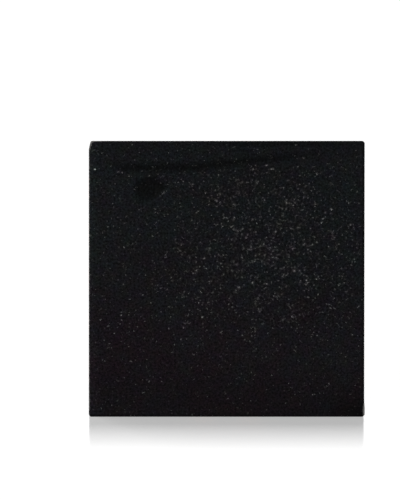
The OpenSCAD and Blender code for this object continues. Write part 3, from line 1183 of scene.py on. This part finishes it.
@dataclass
class Studio:
    """A pale floor, soft light at a plain level and a camera that looks straight down on the face."""

    floor_half: float = 300.0
    floor_drop: float = 0.001
    floor_lap: float = 0.012
    floor_corner: float = 0.96
    floor_tone: str = "#e7e7e7"
    floor_glow: float = 0.44
    world_level: float = 0.06
    lamp_far: float = 200.0
    strip_length: float = 63.0
    strip_width: float = 2.8
    lens: float = 600.0
    sensor: float = 36.0
    nearest: float = 1.0
    farthest: float = 5000.0
    view_height: float = 5.435
    aim_x: float = -0.2907
    aim_y: float = 0.3134

    def floor(self, footprint: Array) -> None:
        """Lay the floor, with an opening under the chip.

        It is white to the camera and in reflections, keeps the shadow and is clear from below. Both its edge
        and the opening are squares with cut corners. The chip laps over the opening, through which the lamps
        under the table light the underside.

        Args:
            footprint: Half the chip's width and half its length.
        """
        c = self.floor_corner
        ring = np.array([[1, -c], [1, c], [c, 1], [-c, 1], [-1, c], [-1, -c], [-c, -1], [c, -1]])
        plan = np.vstack([ring * self.floor_half, ring * (footprint - self.floor_lap)])
        outer, inner = np.arange(len(plan)).reshape(2, -1)
        piece = write_piece("floor", at_height(plan, -self.floor_drop), ring_quads(inner, outer).tolist())
        piece.data.transform(Matrix.Scale(MM, 4))
        material, tree = new_material("white paper sweep")
        rays = add(tree, "LightPath", out="Is Camera Ray").node.outputs
        paper = add(tree, "BsdfDiffuse", {"Color": linear(self.floor_tone)})
        glossy, through = rays["Is Glossy Ray"], rays["Is Transmission Ray"]
        mirrored = add(tree, "Math", {0: glossy, 1: through}, operation="ADD")
        seen = add(tree, "Math", {0: rays["Is Camera Ray"], 1: mirrored}, operation="ADD", use_clamp=True)
        glow = add(tree, "Math", {0: seen, 1: self.floor_glow}, operation="MULTIPLY")
        light = add(tree, "Emission", {"Strength": glow})
        lit = add(tree, "AddShader", {0: paper, 1: light})
        back = add(tree, "NewGeometry", out="Backfacing")
        surface = add(tree, "MixShader", {0: back, 1: lit, 2: add(tree, "BsdfTransparent")})
        add(tree, "OutputMaterial", {"Surface": surface})
        piece.data.materials.append(material)

    def hang(self, light: Light, azimuth: float, elevation: float) -> Object:
        """Hang a lamp so that it looks at the origin.

        Args:
            light: The lamp's data.
            azimuth: Direction that it stands in, in degrees from +X towards +Y.
            elevation: Degrees above the floor.

        Returns:
            The lamp.
        """
        lamp = bpy.data.objects.new(light.name, light)
        a, e = math.radians(azimuth), math.radians(elevation)
        towards = Vector((math.cos(a) * math.cos(e), math.sin(a) * math.cos(e), math.sin(e)))
        lamp.location = towards * self.lamp_far * MM
        lamp.rotation_euler = towards.to_track_quat("Z", "Y").to_euler()
        bpy.context.scene.collection.objects.link(lamp)
        return lamp

    def softbox(self, name: str, azimuth: float, elevation: float, strength: float, spread: float) -> None:
        """Hang a far soft lamp that covers a round patch of the given angle, in degrees."""
        light = bpy.data.lights.new(name, "SUN")
        light.energy, light.angle = strength, math.radians(spread)
        self.hang(light, azimuth, elevation)

    def strip(self, name: str, azimuth: float, elevation: float, strength: float) -> None:
        """Hang a strip lamp that is long upwards, so that shadows fade along their length but not sideways.

        Its light is polarised away in reflections, so that it gives no sheen. A strip of the power P lights a
        face that looks at it by P / (pi far^2).
        """
        light = bpy.data.lights.new(name, "AREA")
        light.shape, light.size, light.size_y = "RECTANGLE", self.strip_width * MM, self.strip_length * MM
        light.energy = strength * math.pi * (self.lamp_far * MM) ** 2
        lamp = self.hang(light, azimuth, elevation)
        lamp.visible_glossy = False
        lamp.visible_camera = False

    def lamps(self) -> None:
        """Hang the lamps and set the room's level."""
        self.strip("overhead strip", azimuth=90.0, elevation=75.5, strength=2.2)
        self.softbox("left softbox", azimuth=165.0, elevation=32.0, strength=0.5, spread=24.0)
        self.softbox("left lamp under the table", azimuth=200.0, elevation=-50.0, strength=2.7, spread=40.0)
        self.softbox("right lamp under the table", azimuth=20.0, elevation=-50.0, strength=1.6, spread=40.0)
        world = bpy.data.worlds.new("dim room")
        world.use_nodes = True
        backdrop = world.node_tree.nodes["Background"]
        backdrop.inputs["Color"].default_value = (self.world_level,) * 3 + (1.0,)
        bpy.context.scene.world = world

    def camera(self, top: float) -> None:
        """Set the camera over the face, at the distance where the view is as high as the photograph's."""
        data = bpy.data.cameras.new("camera")
        data.lens, data.sensor_width = self.lens, self.sensor
        data.clip_start, data.clip_end = self.nearest * MM, self.farthest * MM
        camera = bpy.data.objects.new("camera", data)
        distance = self.view_height * self.lens / self.sensor
        camera.location = Vector((self.aim_x, self.aim_y, top + distance)) * MM
        bpy.context.scene.collection.objects.link(camera)
        bpy.context.scene.camera = camera
        bpy.context.scene.view_settings.view_transform = "Standard"


def dress_inner_pieces() -> None:
    """Give the sealed pieces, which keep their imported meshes, their own materials."""
    wires = [f"bond_wire_{number}" for number in LEADS]
    for finish, nodes in ((SILICON, ["die"]), (SILVER_EPOXY, ["die_adhesive"]), (GOLD_WIRE, wires)):
        material = finish.material()
        for node in nodes:
            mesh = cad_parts[node].data
            mesh.materials.clear()
            mesh.materials.append(material)
            LOG.info("%s: %s", node, finish.name)


def main() -> None:
    """Build the studio and every piece, in order."""
    logging.basicConfig(level=logging.INFO, format="%(name)s %(message)s")
    moulding = Moulding()
    studio = Studio()
    studio.camera(moulding.top)
    studio.floor(moulding.half)
    studio.lamps()
    moulding.build()
    tin, copper = MattTin().material(), SawnCopper().material()
    for number in LEADS:
        Terminal(tin, copper, number=number).build()
    ThermalPad(tin, copper).build()
    dress_inner_pieces()


if __name__ == "__main__":
    main()
